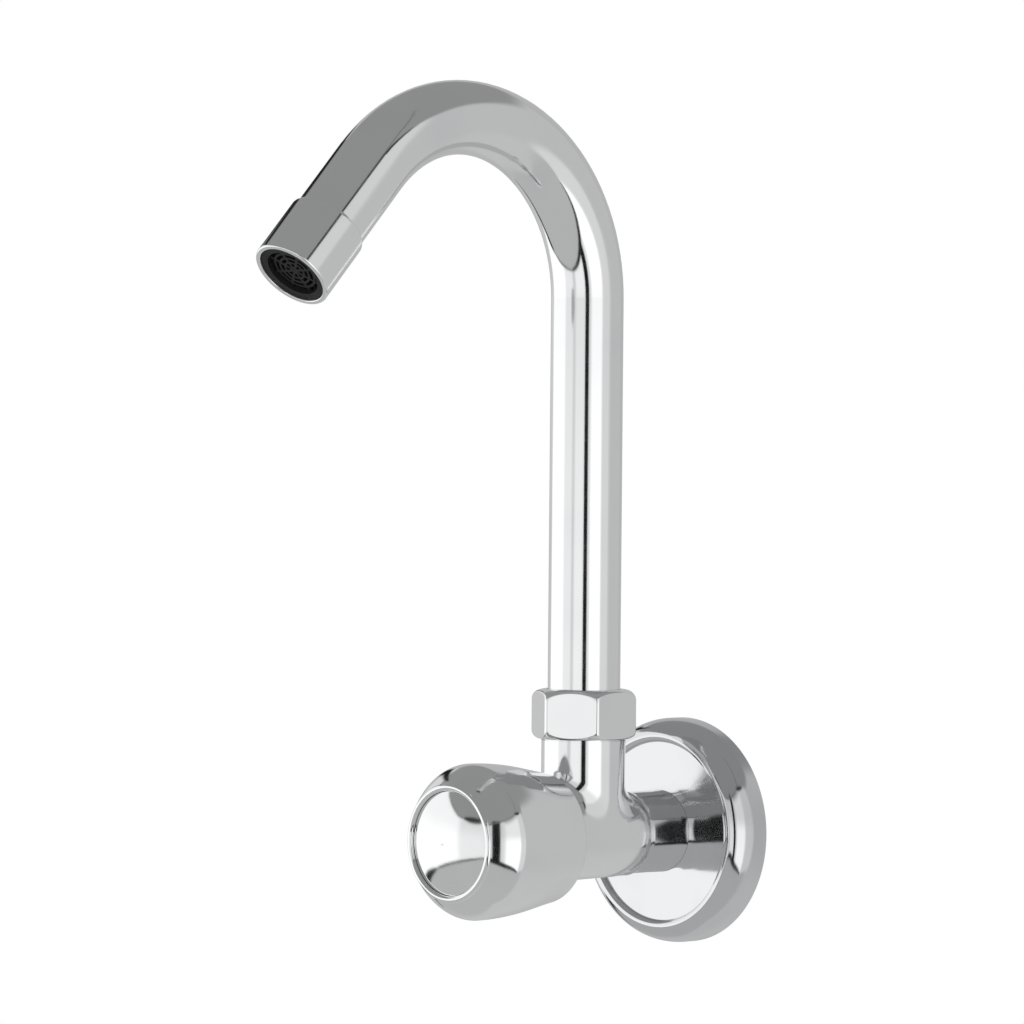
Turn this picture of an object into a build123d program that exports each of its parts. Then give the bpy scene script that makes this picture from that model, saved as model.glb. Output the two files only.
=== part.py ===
from build123d import *
import os
from math import cos, floor, radians, sin

# A chromed wall tap for one supply, in millimetres.
# The wall is the plane y = 0 and the tap points along -Y, with +Z up. The origin is the middle of
# the inlet on the wall. Stations along the body are distances from the wall, heights along the
# riser are measured from the body's axis, and stations in the outlet are measured back from its
# mouth along the spout.

# ---- Clearances ------------------------------------------------------------------------------
seated_gap = 0.05        # between pieces screwed, pressed or soldered together
running_gap = 0.08       # radial, between a turning or sliding piece and its bearing
thrust_gap = 0.1         # along the axis, between a turning piece and its stop
guide_gap = 0.2          # radial, where the tube passes the nut's lip

# ---- Inlet and wall flange -------------------------------------------------------------------
inlet_thread_radius = 20.955 / 2   # half-inch pipe thread
inlet_length = 13.0                # of the shank behind the wall plane
inlet_chamfer = 1.2
inlet_relief_width = 2.0           # of the groove where the thread ends behind the flange
inlet_relief_depth = 1.0
inlet_bore_radius = 6.5
flange_radius = 34.6
flange_face = 10.9                 # of the flat disc, from the wall
flange_rise = 1.6                  # of the rolled rim's crest above the disc
flange_crest_radius = 30.1
flange_groove_radius = 27.5        # of the fine groove at the foot of the rolled rim
flange_groove_depth = 0.5
flange_bead_width = 1.1            # of the fine bead between groove and disc
flange_skirt = 3.7                 # straight edge that stands on the wall
flange_sheet = 1.0

# ---- Valve body ------------------------------------------------------------------------------
barrel_radius = 12.5
barrel_edge = 0.8                  # rounding of the end that bears on the flange
shoulder_at = 25.2
shoulder_length = 3.0
casting_cover = 0.3                # of the casting outside the riser's radius
mouth_widening = 0.5               # of the casting from its shoulder to its mouth
mouth_edge = 0.6
riser_reach = 44.6                 # of the riser's axis, from the wall
mouth_reach = 21.4                 # of the body's mouth, from the riser's axis
chamber_radius = 7.6
riser_radius = 12.7
riser_fillet = 3.2
riser_bore_radius = 7.5
seat_setback = 0.6                 # of the seat, from the riser's bore
seat_bore_radius = 5.5
seat_rim_width = 1.2
seat_rise = 1.0
seat_wall = 2.4

# ---- Headwork: bonnet, spindle and valve -----------------------------------------------------
bonnet_thread_radius = 8.3
bonnet_thread_length = 12.0
bonnet_bore_radius = 6.5
bonnet_floor = 2.0                 # of the bonnet's step behind the mouth
bonnet_collar_radius = 12.0
bonnet_collar = 1.4
bonnet_flats = 19.0
bonnet_hex_height = 4.6
bonnet_neck_radius = 7.4
bonnet_neck = 6.0
bonnet_seal = 1.0
key_width = 2.4
key_radius = 7.3
washer_radius = 7.0
washer_thickness = 3.5
carrier_head = 3.0
carrier_length = 14.0
carrier_bore_depth = 12.0
valve_travel = 4.5                 # from shut to fully open, in one and a half turns
washer_screw_radius = 1.5
washer_screw_head_radius = 3.2
washer_screw_head = 1.6
spindle_radius = 4.9
spindle_thread_radius = 4.0
spindle_thread_length = 12.5
spindle_collar_radius = 6.2
spindle_collar = 1.5
spindle_step = 2.0                 # from the bonnet's end to the spline
spline_radius = 4.0
spline_depth = 0.45
spline_teeth = 20
spindle_groove_depth = 1.3
spindle_groove_width = 1.8
seal_squeeze_room = 0.03           # left round a seal ring in its groove
seal_corner = 0.4                  # cut from the corners of a squeezed ring
thrust_washer = 0.5
circlip = 0.8
circlip_radius = 6.4
circlip_opening = 3.0
circlip_groove_depth = 0.7

# ---- Knob ------------------------------------------------------------------------------------
knob_overlap = 3.5                 # of the knob's skirt over the body's mouth
knob_length = 38.9                 # from its open end to the crest of its front bead
knob_skirt_radius = 19.8
knob_middle_radius = 22.1
knob_middle_at = 13.5              # from the open end
knob_full_radius = 23.3
knob_full_at = 28.5                # from the open end
knob_edge = 0.6
knob_wall = 2.0
bead_radius = 16.65                # of the front bead's crest
bead_section = 1.05                # half the bead's width
recess_radius = 15.6
recess_depth = 7.2
web_thickness = 3.0
boss_radius = 7.5
knob_rib = 2.0
knob_rib_depth = 10.0
knob_rib_count = 4
knob_screw_radius = 2.0
knob_screw_head_radius = 3.6
knob_screw_head = 2.6
knob_screw_length = 9.0
screw_washer = 0.8
screw_washer_radius = 4.6
screw_slot_width = 0.9
screw_slot_depth = 1.0
cap_rise = 2.0                     # of its middle above the bead's crest
cap_drop = 1.1                     # of its edge below the bead's crest
cap_wall = 1.2
cap_skirt = 4.6
cap_gap = 0.15
cap_groove_depth = 0.8
cap_groove_width = 1.2
cap_ring_offset = 2.6              # of its groove below the cap's edge

# ---- Spout nut and swivel --------------------------------------------------------------------
nut_bottom = 29.3
nut_height = 15.2
nut_flats = 28.6
nut_corner_round = 0.7
nut_top_flat = 11.6                # radius at which the rounded crown starts
nut_top_drop = 2.4                 # of the crown at the corners
nut_foot_flat = 12.6
nut_foot_drop = 1.8
nut_lip = 2.5
riser_thread_radius = 12.5
riser_thread_relief = 0.6
slip_ring_height = 1.3
collar_height = 1.4
collar_radius = 11.8
tail_spigot = 8.0
tail_plug_length = 20.0
tail_plug_radius = 9.5
tail_bore_radius = 7.4
socket_radius = 9.6
socket_room = 1.0                  # below the plug
tail_groove_depth = 1.4
tail_groove_width = 2.2
tail_grooves_at = (6.0, 14.0)      # below the collar

# ---- Spout -----------------------------------------------------------------------------------
tube_radius = 11.0
tube_wall = 1.0
leg_height = 162.6                 # from the body's axis to the start of the bend
bend_radius = 52.0
bend_turn = 136.9                  # degrees
tip_run = 44.8                     # from the end of the bend to the mouth of the outlet

# ---- Outlet ----------------------------------------------------------------------------------
housing_radius = 11.95
housing_length = 20.7
housing_shoulder = 1.2
housing_rim_edge = 0.7
housing_mouth_edge = 0.5
housing_ledge_radius = 9.6
ledge_at = 4.4
gasket_at = 9.5
gasket_thickness = 1.5
gasket_hole_radius = 8.0
tube_end_at = 18.5
outlet_thread_radius = 10.9
outlet_spigot = 7.5
outlet_bore_radius = 8.2
insert_recess = 0.9                # of the insert's ring behind the housing's rim
insert_radius = 10.35
insert_bore_radius = 8.3
insert_stem_length = 4.8
grille_recess = 1.2                # of the grille behind the insert's ring
grille_thickness = 1.4
grille_hub_radius = 1.4
grille_rings = 3
grille_ring_bar = 0.7
grille_spokes = 8
grille_spoke_bar = 0.8
screen_thickness = 0.35
screen_stations = (4.0, 5.4)       # of the two screens
screen_pitch = 2.2
screen_hole = 1.5
diffuser_at = 7.0
diffuser_thickness = 1.2
diffuser_hole_radius = 0.7
diffuser_circle_radii = (3.0, 6.0)
diffuser_hole_counts = (6, 12)     # on the two circles

# ---- Stations that follow from the sizes above ------------------------------------------------
seat_at = riser_reach - riser_bore_radius - seat_setback
mouth_at = riser_reach + mouth_reach
bonnet_inner_end = mouth_at - bonnet_thread_length
bonnet_step_at = mouth_at - bonnet_floor
collar_start = mouth_at + bonnet_seal
hex_start = collar_start + bonnet_collar
hex_end = hex_start + bonnet_hex_height
bonnet_end = hex_end + bonnet_neck
carrier_start = seat_at + washer_thickness
carrier_shoulder = carrier_start + carrier_head
carrier_end = carrier_shoulder + carrier_length
collar_back = bonnet_step_at - thrust_gap - spindle_collar
thread_end = collar_back - spindle_thread_length
knob_start = mouth_at - knob_overlap
knob_front = knob_start + knob_length
recess_floor = knob_front - recess_depth
boss_floor = recess_floor - web_thickness
spindle_end = boss_floor - thrust_gap
spline_start = bonnet_end + spindle_step
cap_edge = knob_front - cap_drop
nut_top = nut_bottom + nut_height
lip_under = nut_top - nut_lip
slip_ring_bottom = lip_under - slip_ring_height
collar_top = slip_ring_bottom - thrust_gap
collar_bottom = collar_top - collar_height
riser_top = collar_bottom - thrust_gap
tail_end = collar_bottom - tail_plug_length
socket_floor = tail_end - socket_room
tube_bore_radius = tube_radius - tube_wall
bush_end = gasket_at + gasket_thickness
grille_face = insert_recess + grille_recess
grille_back = grille_face + grille_thickness
insert_end = ledge_at + insert_stem_length

quarter_turn = 90

# Each frame's second axis is the axis that its turned pieces share, and its first is a radius.
body_frame = Plane(origin=(0, 0, 0), x_dir=(1, 0, 0), z_dir=(0, 0, -1))
riser_frame = Plane(origin=(0, -riser_reach, 0), x_dir=(1, 0, 0), z_dir=(0, -1, 0))
back_up_the_tip = Vector(0, sin(radians(bend_turn)), -cos(radians(bend_turn)))
bend_centre = Vector(0, -riser_reach - bend_radius, leg_height)
bend_end = bend_centre + Vector(0, cos(radians(bend_turn)), sin(radians(bend_turn))) * bend_radius
mouth_centre = bend_end - back_up_the_tip * tip_run
outlet_frame = Plane(
    origin=mouth_centre, x_dir=(1, 0, 0), z_dir=Vector(1, 0, 0).cross(back_up_the_tip)
)


def turned(frame, *edges):
    """A piece turned from an outline of (radius, station) edges."""
    return frame * revolve(make_face(edges), Axis.Y)


def turned_corners(frame, *corners):
    """A turned piece whose outline has straight sides only."""
    return turned(frame, *Polyline(*corners, close=True).edges())


def sleeve(frame, inner, outer, low, high):
    """A plain ring, tube or disc between two radii and two stations."""
    return turned_corners(frame, (inner, low), (outer, low), (outer, high), (inner, high))


def prism(frame, section, low, high):
    """A flat section carried straight along the frame's second axis."""
    return frame * extrude(Plane.XZ.offset(-low) * section, amount=low - high)


def seal_ring(frame, inner, outer, station):
    """A rubber ring squeezed flat between two radii."""
    side = outer - inner - 2 * seal_squeeze_room
    section = chamfer(Rectangle(side, side).vertices(), seal_corner)
    return frame * revolve(Pos((inner + outer) / 2, station) * section, Axis.Y)


# ---- Wall flange -----------------------------------------------------------------------------


def flange_outline(inset):
    """The pressed sheet's profile, set in from its outer face, from the rim to the middle."""
    crest = (flange_crest_radius, flange_face + flange_rise - inset)
    skirt_top = (flange_radius - inset, flange_skirt)
    groove = (flange_groove_radius + inset, flange_face - flange_groove_depth - inset)
    disc_edge = (groove[0] - flange_bead_width, flange_face - inset)
    edges = [Line((skirt_top[0], 0), skirt_top)]
    edges.append(
        EllipticalCenterArc(
            (crest[0], skirt_top[1]),
            skirt_top[0] - crest[0],
            crest[1] - skirt_top[1],
            start_angle=0,
            arc_size=quarter_turn,
        )
    )
    edges.append(
        EllipticalCenterArc(
            (crest[0], groove[1]),
            crest[0] - groove[0],
            crest[1] - groove[1],
            start_angle=quarter_turn,
            arc_size=quarter_turn,
        )
    )
    bead_top = ((groove[0] + disc_edge[0]) / 2, flange_face + flange_groove_depth / 4 - inset)
    edges.append(ThreePointArc(groove, bead_top, disc_edge))
    hole_radius = inlet_thread_radius + seated_gap
    edges.append(Line(disc_edge, (hole_radius, disc_edge[1])))
    return edges


def make_wall_flange():
    """A pressed sheet shell with a flat disc, a rolled rim and a skirt that meets the wall."""
    outer = flange_outline(0)
    inner = flange_outline(flange_sheet)
    hole_radius = inlet_thread_radius + seated_gap
    foot = Line((flange_radius - flange_sheet, 0), (flange_radius, 0))
    hole = Line((hole_radius, flange_face), (hole_radius, flange_face - flange_sheet))
    return turned(body_frame, *outer, *inner, foot, hole)


# ---- Valve body ------------------------------------------------------------------------------


def make_body_form():
    """The cast tee from outside: shank, turned barrel, wider casting and upright riser."""
    casting_radius = riser_radius + casting_cover
    mouth_radius = casting_radius + mouth_widening
    shoulder_end = shoulder_at + shoulder_length
    relief_end = flange_face - flange_sheet
    relief_start = relief_end - inlet_relief_width
    points = [
        (0, -inlet_length),
        (inlet_thread_radius - inlet_chamfer, -inlet_length),
        (inlet_thread_radius, inlet_chamfer - inlet_length),
        (inlet_thread_radius, relief_start),
        (inlet_thread_radius - inlet_relief_depth, relief_start),
        (inlet_thread_radius - inlet_relief_depth, relief_end),
        (inlet_thread_radius, relief_end),
        (inlet_thread_radius, flange_face),
        (barrel_radius - barrel_edge, flange_face),
    ]
    edges = list(Polyline(*points).edges())
    edges.append(RadiusArc(points[-1], (barrel_radius, flange_face + barrel_edge), -barrel_edge))
    edges.append(Line((barrel_radius, flange_face + barrel_edge), (barrel_radius, shoulder_at)))
    edges.append(
        Spline(
            (barrel_radius, shoulder_at),
            (casting_radius, shoulder_end),
            tangents=((0, 1), (0, 1)),
        )
    )
    end_points = [
        (casting_radius, shoulder_end),
        (mouth_radius, mouth_at - mouth_edge),
        (mouth_radius - mouth_edge, mouth_at),
        (0, mouth_at),
        (0, -inlet_length),
    ]
    edges += list(Polyline(*end_points).edges())
    form = turned(body_frame, *edges)
    riser = sleeve(riser_frame, 0, riser_radius, 0, nut_bottom - riser_thread_relief)
    tee = form + riser
    root = [
        edge
        for edge in tee.edges()
        if edge.geom_type not in (GeomType.LINE, GeomType.CIRCLE)
        and edge.bounding_box().size.Y > riser_radius
    ]
    tee = fillet(root, riser_fillet)
    thread = sleeve(riser_frame, 0, riser_thread_radius, nut_bottom - riser_thread_relief, riser_top)
    return tee + thread


def make_waterway():
    """The bores of the body: inlet, seat, valve chamber, bonnet thread, riser and socket."""
    rim = seat_bore_radius + seat_rim_width
    chamber_back = seat_at - seat_rise
    mouth_bore = bonnet_thread_radius + seated_gap
    level = turned_corners(
        body_frame,
        (0, -inlet_length),
        (inlet_bore_radius, -inlet_length),
        (inlet_bore_radius, chamber_back - seat_wall),
        (seat_bore_radius, chamber_back - seat_wall),
        (seat_bore_radius, seat_at),
        (rim, seat_at),
        (rim, chamber_back),
        (chamber_radius, chamber_back),
        (chamber_radius, bonnet_inner_end - thrust_gap),
        (mouth_bore, bonnet_inner_end - thrust_gap),
        (mouth_bore, mouth_at),
        (0, mouth_at),
    )
    upright = turned_corners(
        riser_frame,
        (0, 0),
        (riser_bore_radius, 0),
        (riser_bore_radius, socket_floor),
        (socket_radius, socket_floor),
        (socket_radius, riser_top),
        (0, riser_top),
    )
    return level + upright


def make_valve_body():
    return make_body_form() - make_waterway()


# ---- Headwork --------------------------------------------------------------------------------


def make_bonnet():
    """The bonnet: threaded barrel with two key slots, collar, hexagon and bored neck."""
    barrel = sleeve(body_frame, 0, bonnet_thread_radius, bonnet_inner_end, mouth_at + bonnet_seal)
    collar = sleeve(body_frame, 0, bonnet_collar_radius, collar_start, hex_start)
    hexagon = prism(body_frame, RegularPolygon(bonnet_flats / 2, 6, major_radius=False), hex_start, hex_end)
    neck = sleeve(body_frame, 0, bonnet_neck_radius, hex_end, bonnet_end)
    cavity = sleeve(body_frame, 0, bonnet_bore_radius, bonnet_inner_end, bonnet_step_at)
    bore = sleeve(body_frame, 0, spindle_radius + running_gap, bonnet_step_at, bonnet_end)
    slot = Rectangle(2 * (key_radius + running_gap), key_width + 2 * running_gap)
    slots = prism(body_frame, slot, bonnet_inner_end, bonnet_step_at - spindle_collar - 2 * thrust_gap)
    return barrel + collar + hexagon + neck - cavity - bore - slots


def make_bonnet_seal():
    return sleeve(
        body_frame, bonnet_thread_radius + seated_gap, bonnet_collar_radius, mouth_at, collar_start
    )


def make_spindle():
    """The spindle: screw thread, thrust collar, sealed journal, circlip groove and spline."""
    journal_floor = spindle_radius - spindle_groove_depth
    clip_floor = spindle_radius - circlip_groove_depth
    clip_start = bonnet_end + thrust_gap + thrust_washer
    shaft = sleeve(body_frame, 0, spindle_thread_radius - running_gap, thread_end, collar_back)
    shaft += sleeve(body_frame, 0, spindle_collar_radius, collar_back, collar_back + spindle_collar)
    shaft += sleeve(body_frame, 0, spindle_radius, collar_back + spindle_collar, spline_start)
    for station in spindle_seal_stations():
        low = station - spindle_groove_width / 2
        high = station + spindle_groove_width / 2
        shaft -= sleeve(body_frame, journal_floor, spindle_radius + 1, low, high)
    shaft -= sleeve(body_frame, clip_floor, spindle_radius + 1, clip_start, clip_start + circlip)
    shaft += prism(body_frame, spline_section(0), spline_start, spindle_end)
    hole = sleeve(
        body_frame, 0, knob_screw_radius + seated_gap, spindle_end - knob_screw_length, spindle_end
    )
    return shaft - hole


def spindle_seal_stations():
    """The middles of the two seal grooves, evenly spaced in the bonnet's bore."""
    bore_length = bonnet_end - bonnet_step_at
    return [bonnet_step_at + bore_length * share for share in (0.35, 0.7)]


def spline_section(clearance):
    """The toothed section of the spindle's end, grown by a clearance for the knob's bore."""
    tip = spline_radius + clearance
    root = spline_radius - spline_depth + clearance
    pitch = 360 / spline_teeth
    points = []
    for tooth in range(spline_teeth):
        for radius, share in ((root, 0.0), (root, 0.3), (tip, 0.5), (tip, 0.8)):
            angle = radians(pitch * (tooth + share))
            points.append((radius * cos(angle), radius * sin(angle)))
    return make_face(Polyline(*points, close=True))


def make_spindle_o_rings():
    floor_radius = spindle_radius - spindle_groove_depth
    return Compound(
        [
            seal_ring(body_frame, floor_radius, spindle_radius + running_gap, station)
            for station in spindle_seal_stations()
        ]
    )


def make_thrust_washer():
    return sleeve(
        body_frame,
        spindle_radius + seated_gap,
        circlip_radius,
        bonnet_end + thrust_gap,
        bonnet_end + thrust_gap + thrust_washer,
    )


def make_circlip():
    """A snap ring with its opening."""
    start = bonnet_end + thrust_gap + thrust_washer
    bore = spindle_radius - circlip_groove_depth + seated_gap
    ring = sleeve(body_frame, bore, circlip_radius, start, start + circlip - seated_gap)
    gap = Rectangle(circlip_opening, circlip_radius * 2, align=(Align.CENTER, Align.MIN))
    return ring - prism(body_frame, gap, start, start + circlip)


def make_carrier():
    """The valve carrier: head, keyed shank and the blind threaded bore that the spindle drives."""
    hub = washer_screw_radius + seated_gap
    head = sleeve(body_frame, 0, washer_radius, carrier_start, carrier_shoulder)
    shank = sleeve(body_frame, 0, bonnet_bore_radius - running_gap, carrier_shoulder, carrier_end)
    key = Rectangle(2 * key_radius, key_width) & Circle(key_radius)
    keys = prism(body_frame, key, bonnet_inner_end - valve_travel, carrier_end)
    bore_floor = carrier_end - carrier_bore_depth
    bore = sleeve(body_frame, 0, spindle_thread_radius, bore_floor, carrier_end)
    screw_hole = sleeve(body_frame, 0, hub, carrier_start, bore_floor)
    return head + (shank + keys) - bore - screw_hole


def make_valve_washer():
    """The rubber washer, with a dished middle for the screw's head."""
    return turned_corners(
        body_frame,
        (washer_screw_radius + seated_gap, seat_at + washer_screw_head),
        (washer_screw_head_radius + seated_gap, seat_at + washer_screw_head),
        (washer_screw_head_radius + seated_gap, seat_at),
        (washer_radius, seat_at),
        (washer_radius, carrier_start),
        (washer_screw_radius + seated_gap, carrier_start),
    )


def make_washer_screw():
    head_face = seat_at + washer_screw_head
    head = sleeve(body_frame, 0, washer_screw_head_radius, seat_at, head_face)
    shank_end = carrier_end - carrier_bore_depth - seated_gap
    shank = sleeve(body_frame, 0, washer_screw_radius, head_face, shank_end)
    slot = Rectangle(2 * washer_screw_head_radius, screw_slot_width)
    return head + shank - prism(body_frame, slot, seat_at, seat_at + screw_slot_depth)


# ---- Knob ------------------------------------------------------------------------------------


def knob_outer():
    """The knob's outer face from the skirt's rounded edge over the full waist to the bead."""
    skirt_edge = (knob_skirt_radius - knob_edge, knob_start)
    skirt = (knob_skirt_radius, knob_start + knob_edge)
    middle = (knob_middle_radius, knob_start + knob_middle_at)
    full = (knob_full_radius, knob_start + knob_full_at)
    bead_foot = (bead_radius + bead_section, knob_front - bead_section)
    bead_crest = (bead_radius, knob_front)
    bead_inner = (bead_radius - bead_section, knob_front - bead_section)
    return [
        RadiusArc(skirt_edge, skirt, -knob_edge),
        Spline(skirt, middle, full, tangents=((0.15, 1), (0, 1))),
        Spline(full, bead_foot, tangents=((0, 1), (-0.9, 0.35)), tangent_scalars=(1.15, 1.0)),
        ThreePointArc(bead_foot, bead_crest, bead_inner),
    ]


def make_knob():
    """A hollow knob: outer shell, front recess for the cap, web, splined boss and inner ribs."""
    bead_inner = (bead_radius - bead_section, knob_front - bead_section)
    front = Polyline(bead_inner, (recess_radius, recess_floor), (0, recess_floor), (0, knob_start))
    base = Line((0, knob_start), (knob_skirt_radius - knob_edge, knob_start))
    solid = turned(body_frame, *knob_outer(), *front.edges(), base)
    ceiling = boss_floor
    hollow = turned(
        body_frame,
        Line((0, knob_start), (knob_skirt_radius - knob_wall, knob_start)),
        Spline(
            (knob_skirt_radius - knob_wall, knob_start),
            (knob_middle_radius - knob_wall, knob_start + knob_middle_at),
            (knob_full_radius - knob_wall, ceiling),
            tangents=((0.15, 1), (0, 1)),
        ),
        Line((knob_full_radius - knob_wall, ceiling), (0, ceiling)),
        Line((0, ceiling), (0, knob_start)),
    )
    boss_start = spline_start + thrust_gap
    boss = sleeve(body_frame, 0, boss_radius, boss_start, ceiling)
    rib = Rectangle(2 * knob_full_radius, knob_rib)
    turns = [180 / knob_rib_count * index * 2 for index in range(knob_rib_count // 2)]
    for turn in turns:
        boss += prism(body_frame, Rot(0, 0, turn) * rib, ceiling - knob_rib_depth, ceiling)
    shell = solid - hollow + (boss & hollow)
    shell -= prism(body_frame, spline_section(seated_gap), boss_start, boss_floor)
    shell -= sleeve(body_frame, 0, knob_screw_radius + guide_gap, boss_floor, recess_floor)
    return shell


def make_knob_screw():
    seat = recess_floor + screw_washer
    head_top = seat + knob_screw_head
    head = sleeve(body_frame, 0, knob_screw_head_radius, seat, head_top)
    shank = sleeve(body_frame, 0, knob_screw_radius, spindle_end - knob_screw_length + 1, seat)
    slot = Rectangle(2 * knob_screw_head_radius, screw_slot_width)
    return head + shank - prism(body_frame, slot, head_top - screw_slot_depth, head_top)


def make_screw_washer():
    return sleeve(
        body_frame,
        knob_screw_radius + guide_gap,
        screw_washer_radius,
        recess_floor,
        recess_floor + screw_washer,
    )


def make_cap():
    """The bare domed cap, with a skirt that plugs into the knob's recess."""
    edge_radius = recess_radius - cap_gap
    apex = knob_front + cap_rise
    crown_edge = (edge_radius, cap_edge)
    skirt_end = cap_edge - cap_skirt
    inner_radius = edge_radius - cap_groove_depth - cap_wall
    groove_middle = cap_edge - cap_ring_offset
    groove_low = groove_middle - cap_groove_width / 2
    groove_high = groove_middle + cap_groove_width / 2
    groove_floor = edge_radius - cap_groove_depth
    side = Polyline(
        (0, apex - cap_wall),
        (inner_radius, cap_edge - cap_wall),
        (inner_radius, skirt_end),
        (edge_radius, skirt_end),
        (edge_radius, groove_low),
        (groove_floor, groove_low),
        (groove_floor, groove_high),
        (edge_radius, groove_high),
        crown_edge,
    )
    dome = TangentArc((0, apex), crown_edge, tangent=(1, 0))
    return turned(body_frame, *side.edges(), dome, Line((0, apex), (0, apex - cap_wall)))


def make_cap_ring():
    edge_radius = recess_radius - cap_gap
    return seal_ring(
        body_frame, edge_radius - cap_groove_depth, recess_radius, cap_edge - cap_ring_offset
    )


# ---- Spout nut and swivel --------------------------------------------------------------------


def make_spout_nut():
    """A hexagon nut with rounded crowns and corners, a threaded bore and a lip round the tube."""
    corner_radius = nut_flats / 2 / cos(radians(30))
    hexagon = Rot(0, 0, 90) * RegularPolygon(nut_flats / 2, 6, major_radius=False)
    section = fillet(hexagon.vertices(), nut_corner_round)
    blank = prism(riser_frame, section, nut_bottom, nut_top)
    top_start = (nut_top_flat, nut_top)
    top_corner = (corner_radius, nut_top - nut_top_drop)
    foot_start = (nut_foot_flat, nut_bottom)
    foot_corner = (corner_radius, nut_bottom + nut_foot_drop)
    envelope = turned(
        riser_frame,
        Line((0, nut_top), top_start),
        TangentArc(top_start, top_corner, tangent=(1, 0)),
        Line(top_corner, foot_corner),
        TangentArc(foot_start, foot_corner, tangent=(1, 0)),
        Line(foot_start, (0, nut_bottom)),
        Line((0, nut_bottom), (0, nut_top)),
    )
    bore = sleeve(riser_frame, 0, riser_thread_radius + seated_gap, nut_bottom, lip_under)
    hole = sleeve(riser_frame, 0, tube_radius + guide_gap, lip_under, nut_top)
    return (blank & envelope) - bore - hole


def make_slip_ring():
    return sleeve(riser_frame, tube_radius + thrust_gap, collar_radius, slip_ring_bottom, lip_under)


def make_spout_tail():
    """The turned bush in the foot of the tube: spigot, collar and plug with two seal grooves."""
    spigot_radius = tube_bore_radius - seated_gap
    tail = sleeve(riser_frame, 0, spigot_radius, collar_top, collar_top + tail_spigot)
    tail += sleeve(riser_frame, 0, collar_radius, collar_bottom, collar_top)
    tail += sleeve(riser_frame, 0, tail_plug_radius, tail_end, collar_bottom)
    for depth in tail_grooves_at:
        middle = collar_bottom - depth
        low = middle - tail_groove_width / 2
        high = middle + tail_groove_width / 2
        floor_radius = tail_plug_radius - tail_groove_depth
        tail -= sleeve(riser_frame, floor_radius, tail_plug_radius + 1, low, high)
    return tail - sleeve(riser_frame, 0, tail_bore_radius, tail_end, collar_top + tail_spigot)


def make_spout_o_rings():
    floor_radius = tail_plug_radius - tail_groove_depth
    return Compound(
        [
            seal_ring(riser_frame, floor_radius, socket_radius, collar_bottom - depth)
            for depth in tail_grooves_at
        ]
    )


# ---- Spout -----------------------------------------------------------------------------------


def make_spout_tube():
    """A drawn tube: straight leg, one round bend and a straight run down to the outlet."""
    foot = Vector(0, -riser_reach, collar_top)
    bend_start = Vector(0, -riser_reach, leg_height)
    tube_end = mouth_centre + back_up_the_tip * tube_end_at
    leg = Line(foot, bend_start)
    path_plane = Plane(origin=bend_start, x_dir=(0, 0, 1), z_dir=(1, 0, 0))
    bend = path_plane * JernArc((0, 0), (1, 0), bend_radius, bend_turn)
    tip = Line(bend @ 1, tube_end)
    path = Wire([leg.edge(), bend.edge(), tip.edge()])
    section = Circle(tube_radius) - Circle(tube_bore_radius)
    return sweep(Plane(origin=foot, z_dir=(0, 0, 1)) * section, path=path)


# ---- Outlet ----------------------------------------------------------------------------------


def make_outlet_bush():
    spigot_radius = tube_bore_radius - seated_gap
    return turned_corners(
        outlet_frame,
        (outlet_bore_radius, bush_end),
        (outlet_thread_radius, bush_end),
        (outlet_thread_radius, tube_end_at),
        (spigot_radius, tube_end_at),
        (spigot_radius, tube_end_at + outlet_spigot),
        (outlet_bore_radius, tube_end_at + outlet_spigot),
    )


def make_housing():
    """The chromed sleeve: rounded shoulder at the tube, straight side, ledge and round rim."""
    bore = tube_radius + seated_gap
    mouth = insert_radius + seated_gap
    shoulder = (housing_radius, housing_length - housing_shoulder)
    rim_side = (housing_radius, housing_rim_edge)
    rim_outer = (housing_radius - housing_rim_edge, 0)
    rim_inner = (mouth + housing_mouth_edge, 0)
    mouth_side = (mouth, housing_mouth_edge)
    inside = Polyline(
        (bore, housing_length),
        (bore, gasket_at),
        (housing_ledge_radius, gasket_at),
        (housing_ledge_radius, ledge_at),
        (mouth, ledge_at),
        mouth_side,
    )
    return turned(
        outlet_frame,
        *inside.edges(),
        RadiusArc(mouth_side, rim_inner, -housing_mouth_edge),
        Line(rim_inner, rim_outer),
        RadiusArc(rim_outer, rim_side, -housing_rim_edge),
        Line(rim_side, shoulder),
        EllipticalCenterArc(
            (bore, shoulder[1]),
            housing_radius - bore,
            housing_shoulder,
            start_angle=0,
            arc_size=quarter_turn,
        ),
    )


def make_gasket():
    return sleeve(outlet_frame, gasket_hole_radius, outlet_thread_radius, gasket_at, bush_end)


def make_insert():
    """The moulded insert: outer ring, stem and a grille of rings and spokes at its mouth."""
    stem_radius = housing_ledge_radius - seated_gap
    cup = turned_corners(
        outlet_frame,
        (insert_bore_radius, insert_recess),
        (insert_radius, insert_recess),
        (insert_radius, ledge_at),
        (stem_radius, ledge_at),
        (stem_radius, insert_end),
        (insert_bore_radius, insert_end),
    )
    pitch = (insert_bore_radius - grille_hub_radius) / (grille_rings + 1)
    rings = Circle(grille_hub_radius)
    for index in range(grille_rings):
        middle = grille_hub_radius + pitch * (index + 1)
        rings += Circle(middle + grille_ring_bar / 2) - Circle(middle - grille_ring_bar / 2)
    for index in range(grille_spokes // 2):
        spoke = Rectangle(2 * insert_bore_radius + 1, grille_spoke_bar)
        rings += Rot(0, 0, 360 / grille_spokes * index) * spoke
    grille = rings & Circle((insert_bore_radius + insert_radius) / 2)
    return cup + prism(outlet_frame, grille, grille_face, grille_back)


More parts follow.
